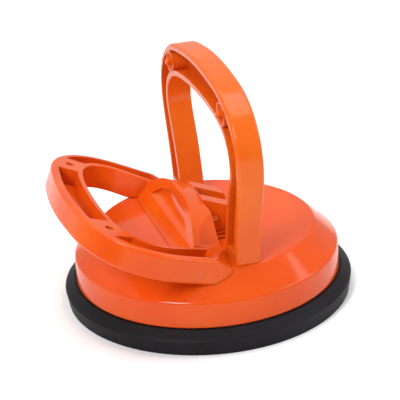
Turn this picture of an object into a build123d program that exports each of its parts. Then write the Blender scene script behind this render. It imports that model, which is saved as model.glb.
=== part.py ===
from build123d import *
import math
import os

os.makedirs("parts", exist_ok=True)

# ---------------------------------------------------------------- dimensions
# Frame: origin at the centre of the rubber's suction face (z = 0), +Z up,
# Y along the hinge pin, lever lying towards -X, fixed handle standing on +X.

# rubber pad
pad_r_bottom = 58.1
pad_r_rim = 59.0
pad_edge_h = 6.7          # height of the outer wall
pad_seat_r = 55.2         # radius where the top surface levels off
pad_seat_z = 9.2
pad_under_r = 50.0        # inner radius of the sealing land
pad_dish = 1.6            # depth of the shallow dish in the suction face
boss_r = 21.0             # central boss that holds the anchor plate
boss_z = 15.0

# anchor plate and pull stud
plate_r = 16.0
plate_t = 2.0
plate_z = 7.0
shank_r = 4.0
blade_t = 3.6             # flat blade of the stud, across Y
blade_w = 7.4             # across X

# housing
skirt_z0 = 9.3
skirt_r0 = 54.2
skirt_z1 = 19.7
skirt_r1 = 53.9
deck_z = 28.6
deck_r = 44.4
wall = 2.8

# hinge pin
pin_x = 1.7
pin_z = 34.5
pin_r = 1.65
pin_half = 10.2

# handles
thick = 10.3              # thickness of both handles, across the mating face
lie = 67.0                # lever angle from vertical in the lying position
lever_d = 4.6             # lever mating face below the pin axis
fixed_x = -0.8            # plane of the fixed handle's mating face
rim_out = 2.6             # fixed handle: width of the outer and inner rims
rim_in = 2.4
lever_rim_out = 3.0       # lever: width of the outer and inner rims
lever_rim_in = 2.2
edge_r = 1.3              # rounding of the handles' outer edges at the mating face
back_r = 1.3              # rounding of the handles' outer edges at the back
inner_r = 0.6             # rounding of the D opening's edges
core_depth = 6.5
cam_r0 = 5.3              # cam radius under the pin, lever lying
lift = 2.5                # rise of the pin as the lever is raised
cam_r1 = cam_r0 + lift    # cam radius under the pin, lever raised
knuckle_w = 10.5          # half width of the forked knuckle
slot_w = 4.1              # half width of the fork's slot
crest_n = 6.6             # crest of the knuckle above the pin axis
bar_v0 = 7.0              # base bar: hinge side
bar_v1 = 15.2             # base bar: grip side at the crest
bar_v2 = 17.4             # base bar: grip side at the deck
arch_r = 54.0             # arch of the bar's top
arch_n = 6.3
slope_low = (2.0, 27.0)   # foot of the bar's slopes on the mating face, hinge side
slope_high = (18.0, 35.5) # and grip side (distance up the handle, half width)
scoop_r = 9.0             # finger scoop along the bar's grip side
scoop_v = 22.9
scoop_n = -1.7
lip_r = 38.0              # arched upper lip of the scoop
lip_n = 2.9
leg_end = 1.9             # hinge end of the lever's legs
leg_join = 13.5           # the legs flare outwards below this
leg_back = 13.4           # depth of the flared legs below the pin axis
leg_top_y = 44.3          # half width of the leg ends, at the mating face
leg_back_y = 48.2         # and at the back
heel_r = 4.5
corner_drop = 2.2         # slanted corner of each leg end
lever_dv = -2.3           # lever outline against the fixed handle's, along the handle
peg_y = 34.0              # locating pegs of the fixed handle
peg_v = 53.1
peg_r = 1.4
peg_len = 1.9
boss_d = 9.4
hole_v = peg_v - lift     # peg holes of the lever
hole_r = 1.8
pocket_tip = 9.0          # hinge end of the lever's side pockets
foot_floor = 4.5          # solid floor in each foot of the fixed handle
screw_r = 1.45
foot_x = fixed_x + 4.6    # screw line through the fixed handle's feet
foot_y = 37.0
screw_xy = [(foot_x, foot_y - 3.6), (foot_x, foot_y + 3.2),
            (foot_x, -foot_y + 3.6), (foot_x, -foot_y - 3.2)]

# half outline of both handles: (half width, height above the pin axis)
outer_pts = [(43.5, -5.8), (44.3, 0.5), (46.0, 9.0), (48.6, 18.0), (51.2, 27.0),
             (52.4, 35.5), (50.9, 44.5), (46.2, 52.4), (39.0, 58.2), (30.5, 61.7),
             (20.0, 63.6), (10.0, 64.7), (0.0, 65.1)]
inner_pts = [(29.6, -5.8), (31.0, 2.0), (33.0, 10.0), (35.6, 18.0), (39.0, 26.0),
             (41.2, 33.5), (39.4, 41.0), (33.0, 46.6), (24.0, 49.4), (12.0, 50.9),
             (0.0, 51.3)]


# solid bridge across the lever's channel at each peg hole: corners beside the
# middle pocket, then beside the side pocket
bridge_mid = [(24.6, 42.0), (28.6, 64.0)]
bridge_side = [(43.8, 60.0), (37.8, 40.0)]


def offset_pts(pts, d):
    """Half outline moved inwards (d > 0) or outwards (d < 0)."""
    out = []
    n = len(pts)
    for i, (y, v) in enumerate(pts):
        y0, v0 = pts[max(i - 1, 0)]
        y1, v1 = pts[min(i + 1, n - 1)]
        ty, tv = y1 - y0, v1 - v0
        if i == n - 1:
            ty, tv = -1.0, 0.0
        ln = math.hypot(ty, tv)
        out.append((y - d * tv / ln, v + d * ty / ln))
    return out


# ---------------------------------------------------------------- planes
s, c = math.sin(math.radians(lie)), math.cos(math.radians(lie))
# local x runs along Y, local y up the handle, local z out of the mating face
lever_pin = Plane(origin=(pin_x, 0, pin_z), x_dir=(0, 1, 0), z_dir=(c, 0, s))
lever_face = lever_pin.offset(-lever_d)
fixed_face = Plane(origin=(fixed_x, 0, pin_z), x_dir=(0, -1, 0), z_dir=(-1, 0, 0))
# section plane of the lever: local x up the handle, local y out of the face
lever_sec = Plane(origin=(pin_x, 0, pin_z), x_dir=(-s, 0, c), z_dir=(0, 1, 0))
# cross plane of the lever: local x along Y, local y out of the face, normal
# pointing down the handle
lever_cross = Plane(origin=(pin_x, 0, pin_z), x_dir=(0, 1, 0), z_dir=(s, 0, -c))


def half_to_full(pts):
    left = [(-y, v) for y, v in pts]
    return pts + left[:-1][::-1]


def shift(pts, dv):
    return [(y, v + dv) for y, v in pts]


def ring(plane, out, inn):
    """D-shaped ring between two half outlines, its legs open at the bottom."""
    with BuildSketch(plane) as sk:
        with BuildLine():
            o = half_to_full(out)
            i = half_to_full(inn)
            Spline(*o)
            Spline(*i)
            Line(o[0], i[0])
            Line(o[-1], i[-1])
        make_face()
    return sk.sketch


def on_deck(v):
    """Height out of the face, at v up the handle, where the lying lever
    clears the deck by a hair."""
    return (deck_z + 0.3 - pin_z - c * v) / s


# ---------------------------------------------------------------- rubber pad
with BuildPart() as rubber_pad:
    with BuildSketch(Plane.XZ):
        with BuildLine():
            Polyline((0, pad_dish), (pad_under_r - 6, pad_dish), (pad_under_r, 0.0),
                     (pad_r_bottom, 0), (pad_r_rim, pad_edge_h - 0.8),
                     (pad_r_rim - 0.7, pad_edge_h), (pad_seat_r, pad_seat_z),
                     (boss_r + 6, pad_seat_z), (boss_r, boss_z), (0, boss_z), (0, pad_dish))
        make_face()
    revolve(axis=Axis.Z)
    # pocket that holds the anchor plate and the way out for the stud's shank
    with BuildSketch(Plane.XZ):
        with BuildLine():
            Polyline((0, plate_z - 2.4), (5.6, plate_z - 2.4), (5.6, plate_z - 0.05),
                     (plate_r + 0.05, plate_z - 0.05), (plate_r + 0.05, plate_z + plate_t + 0.05),
                     (shank_r + 0.05, plate_z + plate_t + 0.05), (shank_r + 0.05, boss_z + 1),
                     (0, boss_z + 1), (0, plate_z - 2.4))
        make_face()
    revolve(axis=Axis.Z, mode=Mode.SUBTRACT)
rubber_pad.part.label = "rubber_pad"
export_step(rubber_pad.part, "parts/rubber_pad.step")

# ---------------------------------------------------------------- anchor plate
with BuildPart() as anchor_plate:
    with BuildSketch(Plane.XY.offset(plate_z)):
        Circle(plate_r)
        Circle(2.5, mode=Mode.SUBTRACT)
        with PolarLocations(plate_r - 5.0, 6):
            Circle(1.8, mode=Mode.SUBTRACT)
    extrude(amount=plate_t)
anchor_plate.part.label = "anchor_plate"
export_step(anchor_plate.part, "parts/anchor_plate.step")

# ---------------------------------------------------------------- pull stud
with BuildPart() as pull_stud:
    # round shank on the plate, peened tail below it
    with BuildSketch(Plane.XY.offset(plate_z + plate_t)):
        Circle(shank_r)
    extrude(amount=22.0 - plate_z - plate_t)
    with BuildSketch(Plane.XY.offset(plate_z)):
        Circle(2.5)
    extrude(amount=plate_t)
    with BuildSketch(Plane.XY.offset(plate_z - 1.2)):
        Circle(4.6)
    extrude(amount=1.2)
    # flat blade with the eye, leaning with its eye over the pin
    with BuildSketch(Plane.XZ):
        with BuildLine():
            Polyline((-3.9, 20.0), (3.9, 20.0), (pin_x + blade_w / 2, 30.0),
                     (pin_x + blade_w / 2, pin_z), (pin_x - blade_w / 2, pin_z),
                     (pin_x - blade_w / 2, 30.0), (-3.9, 20.0))
        make_face()
        with Locations((pin_x, pin_z)):
            Circle(blade_w / 2)
    extrude(amount=blade_t / 2, both=True)
    with BuildSketch(Plane.XZ):
        with Locations((pin_x, pin_z)):
            Circle(pin_r + 0.01)
    extrude(amount=10, both=True, mode=Mode.SUBTRACT)
pull_stud.part.label = "pull_stud"
export_step(pull_stud.part, "parts/pull_stud.step")

# ---------------------------------------------------------------- hinge pin
with BuildPart() as hinge_pin:
    with BuildSketch(Plane.XZ):
        with Locations((pin_x, pin_z)):
            Circle(pin_r)
    extrude(amount=pin_half, both=True)
    chamfer(hinge_pin.edges().filter_by(GeomType.CIRCLE), 0.25)
hinge_pin.part.label = "hinge_pin"
export_step(hinge_pin.part, "parts/hinge_pin.step")

# ---------------------------------------------------------------- housing
with BuildPart() as housing:
    with BuildSketch(Plane.XZ):
        with BuildLine():
            Polyline((0, deck_z), (deck_r, deck_z), (skirt_r1, skirt_z1), (skirt_r0, skirt_z0),
                     (skirt_r0 - wall, skirt_z0), (skirt_r1 - wall, skirt_z1 - 1.0),
                     (deck_r - 1.2, deck_z - wall), (0, deck_z - wall), (0, deck_z))
        make_face()
    revolve(axis=Axis.Z)
    rims = housing.edges().filter_by(GeomType.CIRCLE)
    top_rim = rims.filter_by(lambda e: abs(e.center().Z - deck_z) < 0.01 and abs(e.radius - deck_r) < 0.1)
    fillet(top_rim, 1.6)
    shoulder = housing.edges().filter_by(GeomType.CIRCLE).filter_by(
        lambda e: abs(e.center().Z - skirt_z1) < 0.01 and abs(e.radius - skirt_r1) < 0.1)
    fillet(shoulder, 1.6)
    hem = housing.edges().filter_by(GeomType.CIRCLE).filter_by(
        lambda e: abs(e.center().Z - skirt_z0) < 0.01 and abs(e.radius - skirt_r0) < 0.1)
    fillet(hem, 0.6)
    # radial ribs and the inner ring that stiffen the deck from below
    with BuildSketch(Plane.XY.offset(deck_z - wall - 7.0)):
        with PolarLocations(0, 8, start_angle=22.5):
            with Locations((34.6, 0)):
                Rectangle(19.5, 1.8)
        Circle(26.0)
        Circle(24.2, mode=Mode.SUBTRACT)
    extrude(amount=7.2)
    # screw bosses under the fixed handle's feet
    with BuildSketch(Plane.XY.offset(deck_z - wall - 4.0)):
        with Locations(*screw_xy):
            Circle(3.6)
    extrude(amount=4.2)
    with BuildSketch(Plane.XY.offset(0)):
        with Locations(*screw_xy):
            Circle(1.75)
    extrude(amount=60, mode=Mode.SUBTRACT)
    # opening for the stud, and the two slots beside the knuckle
    with BuildSketch(Plane.XY):
        with Locations((pin_x, 0)):
            Rectangle(11.0, 7.6)
        with Locations((pin_x + 0.6, 13.1), (pin_x + 0.6, -13.1),
                       (pin_x + 0.6, 16.8), (pin_x + 0.6, -16.8)):
            Rectangle(5.0, 2.0)
    extrude(amount=60, mode=Mode.SUBTRACT)
housing.part.label = "housing"
export_step(housing.part, "parts/housing.step")

# body of revolution that a handle must stay clear of
with BuildPart() as keep_clear:
    with BuildSketch(Plane.XZ):
        with BuildLine():
            g = 0.35
            Polyline((0, 0), (skirt_r0 + g, 0), (skirt_r1 + g, skirt_z1 + 0.25),
                     (deck_r + 0.25, deck_z + g), (0, deck_z + g), (0, 0))
        make_face()
    revolve(axis=Axis.Z)

# ---------------------------------------------------------------- fixed handle
# cored channel in the mating face, closed by a floor above each foot
with BuildPart() as fixed_core:
    extrude(ring(fixed_face, offset_pts(outer_pts, rim_out), offset_pts(inner_pts, -rim_in)),
            amount=-core_depth)
    split(bisect_by=Plane.XY.offset(deck_z + foot_floor), keep=Keep.TOP)

with BuildPart() as fixed_handle:
    extrude(ring(fixed_face, outer_pts, inner_pts), amount=-thick)
    # rounded long edges: outer and inner, at the mating face and at the back
    long_edges = fixed_handle.edges().filter_by(GeomType.BSPLINE)
    at_face = long_edges.filter_by(lambda e: abs(e.center().X - fixed_x) < 0.05)
    at_back = long_edges.filter_by(lambda e: abs(e.center().X - fixed_x - thick) < 0.05)
    fillet(at_face.sort_by(SortBy.LENGTH)[-1], edge_r)
    fillet(at_back.sort_by(SortBy.LENGTH)[-1], back_r)
    fillet(fixed_handle.edges().filter_by(GeomType.BSPLINE).filter_by(
        lambda e: abs(e.center().X - fixed_x) < 0.05).sort_by(SortBy.LENGTH)[0], inner_r)
    fillet(fixed_handle.edges().filter_by(GeomType.BSPLINE).filter_by(
        lambda e: abs(e.center().X - fixed_x - thick) < 0.05).sort_by(SortBy.LENGTH)[0], inner_r)
    add(fixed_core.part, mode=Mode.SUBTRACT)
    # two round bosses across the channel, dished, each with a locating peg
    with BuildSketch(fixed_face.offset(0.1)):
        with Locations((peg_y, peg_v), (-peg_y, peg_v)):
            Circle(boss_d / 2)
    extrude(amount=-core_depth - 0.6)
    with BuildSketch(fixed_face.offset(0.11)):
        with Locations((peg_y, peg_v), (-peg_y, peg_v)):
            Circle(boss_d / 2 - 0.45)
    extrude(amount=-1.2, taper=45, mode=Mode.SUBTRACT)
    with BuildSketch(fixed_face.offset(-1.5)):
        with Locations((peg_y, peg_v), (-peg_y, peg_v)):
            Circle(peg_r)
    extrude(amount=1.5 + peg_len)
    tips = fixed_handle.edges().filter_by(GeomType.CIRCLE).filter_by(
        lambda e: abs(e.center().X - fixed_x + peg_len) < 0.05)
    fillet(tips, peg_r * 0.7)
    # feet end flush on the deck
    split(bisect_by=Plane.XY.offset(deck_z), keep=Keep.TOP)
    # blind pilot holes for the screws
    with BuildSketch(Plane.XY.offset(deck_z)):
        with Locations(*screw_xy):
            Circle(screw_r + 0.02)
    extrude(amount=foot_floor - 1.0, mode=Mode.SUBTRACT)
fixed_handle.part.label = "fixed_handle"
export_step(fixed_handle.part, "parts/fixed_handle.step")

# ---------------------------------------------------------------- handle screws
with BuildPart() as handle_screws:
    with BuildSketch(Plane.XY.offset(deck_z - wall - 4.0 - 2.2)):
        with Locations(*screw_xy):
            Circle(3.0)
    extrude(amount=2.2)
    with BuildSketch(Plane.XY.offset(deck_z - wall - 4.0)):
        with Locations(*screw_xy):
            Circle(screw_r)
    extrude(amount=wall + 4.0 + foot_floor - 1.4)
    with BuildSketch(Plane.XY.offset(deck_z - wall - 4.0 - 2.3)):
        with Locations(*screw_xy):
            Rectangle(3.4, 0.8)
            Rectangle(0.8, 3.4)
    extrude(amount=1.3, mode=Mode.SUBTRACT)
handle_screws.part.label = "handle_screws"
export_step(handle_screws.part, "parts/handle_screws.step")

# ---------------------------------------------------------------- lever handle
lo = shift(outer_pts, lever_dv)
li = shift(inner_pts, lever_dv)
steps = 10
cam = []
for k in range(steps + 1):
    ang = math.radians(lie) * k / steps
    r = cam_r0 + (cam_r1 - cam_r0) * k / steps
    cam.append((-r * math.cos(math.radians(lie) - ang), -r * math.sin(math.radians(lie) - ang)))


def width_at(pts, v):
    """Half width of a half outline at height v on its leg."""
    for (y0, v0), (y1, v1) in zip(pts, pts[1:]):
        if v0 <= v <= v1:
            return y0 + (y1 - y0) * (v - v0) / (v1 - v0)
    return pts[0][0]


# cored pockets in the lever's mating face: one along the apex between the two
# bridges, and one down each side, ending in a point
with BuildPart() as lever_core:
    extrude(ring(lever_face, offset_pts(lo, lever_rim_out), offset_pts(li, -lever_rim_in)),
            amount=-core_depth)
    with BuildSketch(lever_face):
        for sgn in (1, -1):
            with BuildLine():
                b = [(sgn * y, v + lever_dv) for y, v in bridge_mid + bridge_side]
                Polyline(b[0], b[1], b[2], b[3], b[0])
            make_face()
        with Locations((0, -30 + pocket_tip)):
            Rectangle(140, 60)
        for sgn in (1, -1):
            with BuildLine():
                Polyline((sgn * 28.0, pocket_tip - 1), (sgn * 28.0, pocket_tip + 5.5),
                         (sgn * 40.0, pocket_tip), (sgn * 50.0, pocket_tip + 4.5),
                         (sgn * 52.0, pocket_tip - 1), (sgn * 28.0, pocket_tip - 1))
            make_face()
    extrude(amount=-core_depth, mode=Mode.SUBTRACT)
    fillet(lever_core.edges().filter_by(lambda e: e.geom_type == GeomType.LINE and
           abs(e.length - core_depth) < 0.01), 1.1)

# flared end of one leg, wider at the back than at the mating face: three
# rounded cross sections down the leg
leg_out = width_at(lo, leg_join)
leg_in = width_at(li, leg_join)
leg_sections = [
    (leg_join, leg_in, leg_out, leg_out, lever_d + thick),
    ((leg_join + leg_end) / 2, width_at(li, 7.7) - 0.3, 46.2, 47.6, 14.4),
    (leg_end, width_at(li, leg_end) - 1.0, leg_top_y, leg_back_y, leg_back),
]
with BuildPart() as leg_end_block:
    for v, y_in, y_top, y_back, depth in leg_sections:
        with BuildSketch(lever_cross.offset(-v)) as leg_cut:
            with BuildLine():
                Polyline((y_in, -lever_d), (y_top, -lever_d), (y_back, -depth), (y_in, -depth),
                         (y_in, -lever_d))
            make_face()
            corners = leg_cut.vertices().sort_by(Axis.X)
            fillet(corners[2:], edge_r)
            fillet(leg_cut.vertices().filter_by(lambda p: abs(p.X - y_in) < 0.01), inner_r)
    loft()
    # rounded heel
    with BuildSketch(lever_sec):
        with BuildLine():
            Polyline((leg_end + heel_r, -leg_back - 3), (leg_end - 2, -leg_back - 3),
                     (leg_end - 2, -leg_back + heel_r), (leg_end, -leg_back + heel_r))
            RadiusArc((leg_end, -leg_back + heel_r), (leg_end + heel_r, -leg_back), -heel_r)
            Line((leg_end + heel_r, -leg_back), (leg_end + heel_r, -leg_back - 3))
        make_face()
    extrude(amount=80, both=True, mode=Mode.SUBTRACT)
    # slanted corner
    with BuildSketch(Plane(origin=lever_face.from_local_coords((31.4, 2.7, 0)),
                           x_dir=lever_face.from_local_coords((45.4, 9.5, 0))
                           - lever_face.from_local_coords((31.4, 2.7, 0)),
                           z_dir=(lever_face.from_local_coords((45.4, 9.5, 0))
                                  - lever_face.from_local_coords((31.4, 2.7, 0))).cross(
                               lever_face.from_local_coords((leg_top_y, leg_end, -corner_drop))
                               - lever_face.from_local_coords((31.4, 2.7, 0))) * -1)):
        Rectangle(80, 80)
    extrude(amount=10, mode=Mode.SUBTRACT)

# finger scoop: a round trough across the bar, its upper lip arched
with BuildPart() as scoop:
    with BuildSketch(lever_sec):
        with Locations((scoop_v, scoop_n)):
            Circle(scoop_r)
    extrude(amount=31.0, both=True)
    with BuildSketch(lever_cross):
        with Locations((0, lip_n - lip_r)):
            Circle(lip_r)
    extrude(amount=-60.0, mode=Mode.INTERSECT)

with BuildPart() as lever_handle:
    extrude(ring(lever_face, lo, li), amount=-thick)
    pin_v = Vector(pin_x, 0, pin_z)
    out_v = Vector(c, 0, s)

    def long_edge(depth, index):
        """Outer (-1) or inner (0) long edge of the ring, at a depth below the pin axis."""
        return lever_handle.edges().filter_by(GeomType.BSPLINE).filter_by(
            lambda e: abs((e.center() - pin_v).dot(out_v) + depth) < 0.05
        ).sort_by(SortBy.LENGTH)[index]

    fillet(long_edge(lever_d, -1), edge_r)
    fillet(long_edge(lever_d + thick, -1), back_r)
    fillet(long_edge(lever_d, 0), inner_r)
    fillet(long_edge(lever_d + thick, 0), inner_r)
    # the ring ends where the flared legs begin
    with BuildSketch(lever_sec):
        with Locations((leg_join - 30.0, 0)):
            Rectangle(60.0, 80.0)
    extrude(amount=80, both=True, mode=Mode.SUBTRACT)
    add(leg_end_block.part)
    add(leg_end_block.part.mirror(Plane.XZ))
    # arched base bar between the legs
    with BuildSketch(lever_sec):
        with BuildLine():
            Polyline((bar_v0, on_deck(bar_v0)), (bar_v0, crest_n), (bar_v1 - 1.4, crest_n),
                     (bar_v1, crest_n - 1.4), (bar_v1 + 0.3, -6.7), (bar_v2, on_deck(bar_v2)),
                     (bar_v0, on_deck(bar_v0)))
        make_face()
    extrude(amount=34.0, both=True)
    # the bar's hinge side runs down towards the leg ends
    with BuildSketch(lever_pin.offset(crest_n)):
        for sgn in (1, -1):
            with BuildLine():
                Polyline((sgn * 9.0, bar_v0 + 0.3), (sgn * 11.0, bar_v0 - 0.3),
                         (sgn * 28.0, leg_end + 0.3), (sgn * 33.0, leg_end + 0.3),
                         (sgn * 33.0, bar_v0 + 2.0), (sgn * 9.0, bar_v0 + 2.0),
                         (sgn * 9.0, bar_v0 + 0.3))
            make_face()
    extrude(amount=-20.0)
    # the bar's top is arched, with flat slopes down to the legs' mating face
    with BuildSketch(lever_cross):
        with Locations((0, 10.0)):
            Rectangle(120.0, 2 * (10.0 + lever_d))
        with Locations((0, arch_n - arch_r)):
            Circle(arch_r, mode=Mode.SUBTRACT)
    extrude(amount=-30.0, both=True, mode=Mode.SUBTRACT)
    rise = crest_n + lever_d
    run = slope_low[1] - knuckle_w
    for sgn in (1, -1):
        for v, foot in (slope_low, slope_high):
            with BuildSketch(lever_cross.offset(-v)):
                with BuildLine():
                    Polyline((sgn * (foot - run), crest_n), (sgn * foot, crest_n - rise),
                             (sgn * 60.0, crest_n - rise), (sgn * 60.0, 20.0),
                             (sgn * (foot - run), 20.0), (sgn * (foot - run), crest_n))
                make_face()
        loft(ruled=True, mode=Mode.SUBTRACT)
    # finger scoop along the bar's grip side
    add(scoop.part, mode=Mode.SUBTRACT)
    # forked knuckle with its spiral cam
    with BuildSketch(lever_sec):
        with BuildLine():
            Spline(*cam)
            Polyline(cam[-1], (-cam_r1, crest_n - 1.6), (-cam_r1 + 1.6, crest_n),
                     (bar_v0 + 1.0, crest_n), (bar_v0 + 1.0, on_deck(bar_v0 + 1.0)),
                     cam[0])
        make_face()
    extrude(amount=knuckle_w, both=True)
    # slot of the fork
    with BuildSketch(lever_sec):
        with Locations(((bar_v0 + 0.5 - 20) / 2, -5.0)):
            Rectangle(bar_v0 + 0.5 + 20, 40.0)
    extrude(amount=slot_w, both=True, mode=Mode.SUBTRACT)
    # clear of the housing when lying
    add(keep_clear.part, mode=Mode.SUBTRACT)
    add(lever_core.part, mode=Mode.SUBTRACT)
    with BuildSketch(lever_face):
        with Locations((peg_y, hole_v), (-peg_y, hole_v)):
            Circle(hole_r)
    extrude(amount=-4.5, mode=Mode.SUBTRACT)
    # pin bore
    with BuildSketch(Plane.XZ):
        with Locations((pin_x, pin_z)):
            Circle(pin_r + 0.05)
    extrude(amount=20, both=True, mode=Mode.SUBTRACT)
lever_handle.part.label = "lever_handle"
export_step(lever_handle.part, "parts/lever_handle.step")
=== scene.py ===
import math

import bpy
from mathutils import Matrix, Vector


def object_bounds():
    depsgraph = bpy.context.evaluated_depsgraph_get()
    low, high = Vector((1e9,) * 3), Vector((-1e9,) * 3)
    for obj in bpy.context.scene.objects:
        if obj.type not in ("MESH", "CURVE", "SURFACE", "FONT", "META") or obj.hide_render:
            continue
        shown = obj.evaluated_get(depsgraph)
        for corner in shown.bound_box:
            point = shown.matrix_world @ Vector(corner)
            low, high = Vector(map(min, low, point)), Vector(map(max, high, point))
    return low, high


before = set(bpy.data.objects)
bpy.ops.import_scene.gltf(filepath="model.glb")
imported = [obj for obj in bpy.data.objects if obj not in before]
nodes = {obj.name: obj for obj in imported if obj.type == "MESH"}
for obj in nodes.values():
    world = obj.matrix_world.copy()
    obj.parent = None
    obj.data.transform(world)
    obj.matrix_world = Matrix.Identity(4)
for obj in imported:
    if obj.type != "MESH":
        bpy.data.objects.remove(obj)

cad_lo, cad_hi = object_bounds()
cad_lo, cad_hi = cad_lo.copy(), cad_hi.copy()
scene = bpy.context.scene


# ------------------------------------------------------------------ materials
def new_material(name):
    m = bpy.data.materials.new(name)
    m.use_nodes = True
    nt = m.node_tree
    return m, nt, nt.nodes["Principled BSDF"]


def noise(nt, coord, scale, detail=4.0, rough=0.5):
    n = nt.nodes.new("ShaderNodeTexNoise")
    n.inputs["Scale"].default_value = scale
    n.inputs["Detail"].default_value = detail
    n.inputs["Roughness"].default_value = rough
    nt.links.new(coord, n.inputs["Vector"])
    return n.outputs["Fac"]


def ramp(nt, fac, lo, hi, a, b):
    r = nt.nodes.new("ShaderNodeMapRange")
    r.inputs["From Min"].default_value = lo
    r.inputs["From Max"].default_value = hi
    r.inputs["To Min"].default_value = a
    r.inputs["To Max"].default_value = b
    nt.links.new(fac, r.inputs["Value"])
    return r.outputs["Result"]


def mix_colour(nt, fac, a, b):
    m = nt.nodes.new("ShaderNodeMix")
    m.data_type = "RGBA"
    m.inputs["A"].default_value = (*a, 1)
    m.inputs["B"].default_value = (*b, 1)
    nt.links.new(fac, m.inputs["Factor"])
    return m.outputs["Result"]


def bump(nt, fac, strength, distance, normal=None):
    b = nt.nodes.new("ShaderNodeBump")
    b.inputs["Strength"].default_value = strength
    b.inputs["Distance"].default_value = distance
    nt.links.new(fac, b.inputs["Height"])
    if normal is not None:
        nt.links.new(normal, b.inputs["Normal"])
    return b.outputs["Normal"]


def object_coord(nt):
    return nt.nodes.new("ShaderNodeTexCoord").outputs["Object"]


def plastic(name, light, dark, r_lo=0.2, r_hi=0.3):
    """Glossy injection-moulded plastic: faint flow marks in the colour, orange
    peel in the gloss, and a fine tool texture in the roughness."""
    m, nt, p = new_material(name)
    co = object_coord(nt)
    flow = noise(nt, co, 38.0, 3.0, 0.55)
    nt.links.new(mix_colour(nt, ramp(nt, flow, 0.3, 0.7, 0.0, 1.0), light, dark), p.inputs["Base Color"])
    fine = noise(nt, co, 900.0, 3.0, 0.6)
    nt.links.new(ramp(nt, fine, 0.3, 0.7, r_lo, r_hi), p.inputs["Roughness"])
    peel = noise(nt, co, 260.0, 2.0, 0.5)
    n1 = bump(nt, peel, 0.10, 0.00025)
    nt.links.new(bump(nt, fine, 0.05, 0.00006, n1), p.inputs["Normal"])
    p.inputs["IOR"].default_value = 1.49
    p.inputs["Specular IOR Level"].default_value = 0.27
    p.inputs["Subsurface Weight"].default_value = 0.06
    p.inputs["Subsurface Radius"].default_value = (0.0030, 0.0009, 0.0004)
    p.inputs["Subsurface Scale"].default_value = 1.0
    return m


housing_mat = plastic("orange_housing_plastic", (0.72, 0.088, 0.005), (0.67, 0.066, 0.004), 0.09, 0.15)
handle_mat = plastic("orange_handle_plastic", (0.74, 0.136, 0.010), (0.70, 0.100, 0.006), 0.14, 0.22)
lever_mat = plastic("orange_lever_plastic", (0.73, 0.104, 0.005), (0.68, 0.070, 0.004), 0.12, 0.20)


def rubber(name):
    m, nt, p = new_material(name)
    co = object_coord(nt)
    cloud = noise(nt, co, 45.0, 5.0, 0.6)
    nt.links.new(mix_colour(nt, ramp(nt, cloud, 0.3, 0.7, 0.0, 1.0), (0.007, 0.006, 0.007), (0.012, 0.011, 0.014)), p.inputs["Base Color"])
    fine = noise(nt, co, 1400.0, 4.0, 0.65)
    nt.links.new(ramp(nt, fine, 0.3, 0.7, 0.48, 0.62), p.inputs["Roughness"])
    nt.links.new(bump(nt, fine, 0.12, 0.00008), p.inputs["Normal"])
    p.inputs["Specular IOR Level"].default_value = 0.14
    return m


def steel(name, colour, r_lo, r_hi, brushed):
    m, nt, p = new_material(name)
    co = object_coord(nt)
    mp = nt.nodes.new("ShaderNodeMapping")
    mp.inputs["Scale"].default_value = brushed
    nt.links.new(co, mp.inputs["Vector"])
    lines = noise(nt, mp.outputs["Vector"], 1200.0, 3.0, 0.6)
    lo = tuple(c * 0.86 for c in colour)
    nt.links.new(mix_colour(nt, ramp(nt, lines, 0.3, 0.7, 0.0, 1.0), colour, lo), p.inputs["Base Color"])
    nt.links.new(ramp(nt, lines, 0.3, 0.7, r_lo, r_hi), p.inputs["Roughness"])
    nt.links.new(bump(nt, lines, 0.08, 0.00004), p.inputs["Normal"])
    p.inputs["Metallic"].default_value = 1.0
    return m


rubber_mat = rubber("black_moulded_rubber")
pin_mat = steel("turned_pin_steel", (0.72, 0.69, 0.67), 0.18, 0.30, (1.0, 0.05, 1.0))
zinc_mat = steel("zinc_plated_steel", (0.60, 0.61, 0.63), 0.25, 0.40, (1.0, 1.0, 1.0))


def assign(node, mat):
    o = nodes[node]
    for s in o.material_slots:
        s.material = mat
    if not o.material_slots:
        o.data.materials.append(mat)


assign("housing", housing_mat)
assign("fixed_handle", handle_mat)
assign("lever_handle", lever_mat)
assign("rubber_pad", rubber_mat)
assign("hinge_pin", pin_mat)
for n in ("pull_stud", "anchor_plate", "handle_screws"):
    assign(n, zinc_mat)

# ------------------------------------------------------------------ floor
bpy.ops.mesh.primitive_plane_add(size=6.0, location=(0, 0, cad_lo.z - 0.00005))
floor = bpy.context.object
floor.name = "studio_floor"
fm, fnt, fp = new_material("pale_floor")
fco = object_coord(fnt)
fnt.links.new(mix_colour(fnt, noise(fnt, fco, 3.0, 2.0), (0.93, 0.93, 0.93), (0.95, 0.95, 0.95)), fp.inputs["Base Color"])
fp.inputs["Roughness"].default_value = 0.65
fp.inputs["Specular IOR Level"].default_value = 0.2
floor.data.materials.append(fm)

# ------------------------------------------------------------------ light
world = bpy.data.worlds.new("studio_world")
scene.world = world
world.use_nodes = True
wnt = world.node_tree
bg = wnt.nodes["Background"]
wco = wnt.nodes.new("ShaderNodeTexCoord").outputs["Generated"]
sep = wnt.nodes.new("ShaderNodeSeparateXYZ")
wnt.links.new(wco, sep.inputs["Vector"])
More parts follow.
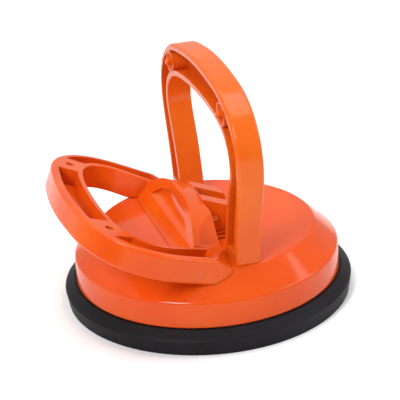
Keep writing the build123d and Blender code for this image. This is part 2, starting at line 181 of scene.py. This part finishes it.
# bright behind and above, dimmer in front
lift_z = ramp(wnt, sep.outputs["Z"], 0.0, 0.7, 0.0, 0.55)
lift_y = ramp(wnt, sep.outputs["Y"], -0.5, 0.6, 0.0, 0.65)
total = wnt.nodes.new("ShaderNodeMath")
total.operation = "ADD"
wnt.links.new(lift_z, total.inputs[0])
wnt.links.new(lift_y, total.inputs[1])
wnt.links.new(mix_colour(wnt, total.outputs["Value"], (0.07, 0.07, 0.075), (1.0, 1.0, 1.0)), bg.inputs["Color"])
bg.inputs["Strength"].default_value = 0.75


def softbox(name, at, aim, size, power, colour=(1, 1, 1)):
    d = bpy.data.lights.new(name, "AREA")
    d.shape = "RECTANGLE"
    d.size, d.size_y = size
    d.energy = power
    d.color = colour
    o = bpy.data.objects.new(name, d)
    scene.collection.objects.link(o)
    o.location = at
    o.rotation_euler = (Vector(aim) - Vector(at)).to_track_quat("-Z", "Y").to_euler()
    return o


softbox("key_left", (-0.60, -0.55, 0.70), (0, 0, 0.03), (0.34, 0.34), 6.4)
softbox("fill_right", (0.75, -0.30, 0.45), (0, 0, 0.03), (0.5, 0.4), 2.5)
softbox("top", (0.05, 0.15, 0.95), (0, 0, 0.02), (0.8, 0.6), 5.0)

# ------------------------------------------------------------------ camera
AZ, EL, ROLL, DIST = math.radians(-15.62), math.radians(23.97), math.radians(-3.84), 0.600
back = Vector((math.sin(AZ) * math.cos(EL), -math.cos(AZ) * math.cos(EL), math.sin(EL)))
right = Vector((math.cos(AZ), math.sin(AZ), 0.0))
up = right.cross(-back)
target = right * -0.00127 + Vector((0, 0, 0.03879))
cd = bpy.data.cameras.new("photo_camera")
cd.sensor_width = 36.0
cd.lens = 133.22
cd.clip_start = 0.01
cd.clip_end = 20.0
cam = bpy.data.objects.new("photo_camera", cd)
scene.collection.objects.link(cam)
x = right * math.cos(ROLL) + up * math.sin(ROLL)
y = -right * math.sin(ROLL) + up * math.cos(ROLL)
pos = target + back * DIST
cam.matrix_world = Matrix(((x.x, y.x, back.x, pos.x),
                           (x.y, y.y, back.y, pos.y),
                           (x.z, y.z, back.z, pos.z),
                           (0, 0, 0, 1)))
scene.camera = cam
scene.view_settings.view_transform = "Standard"
scene.view_settings.look = "None"
scene.view_settings.exposure = 0.0
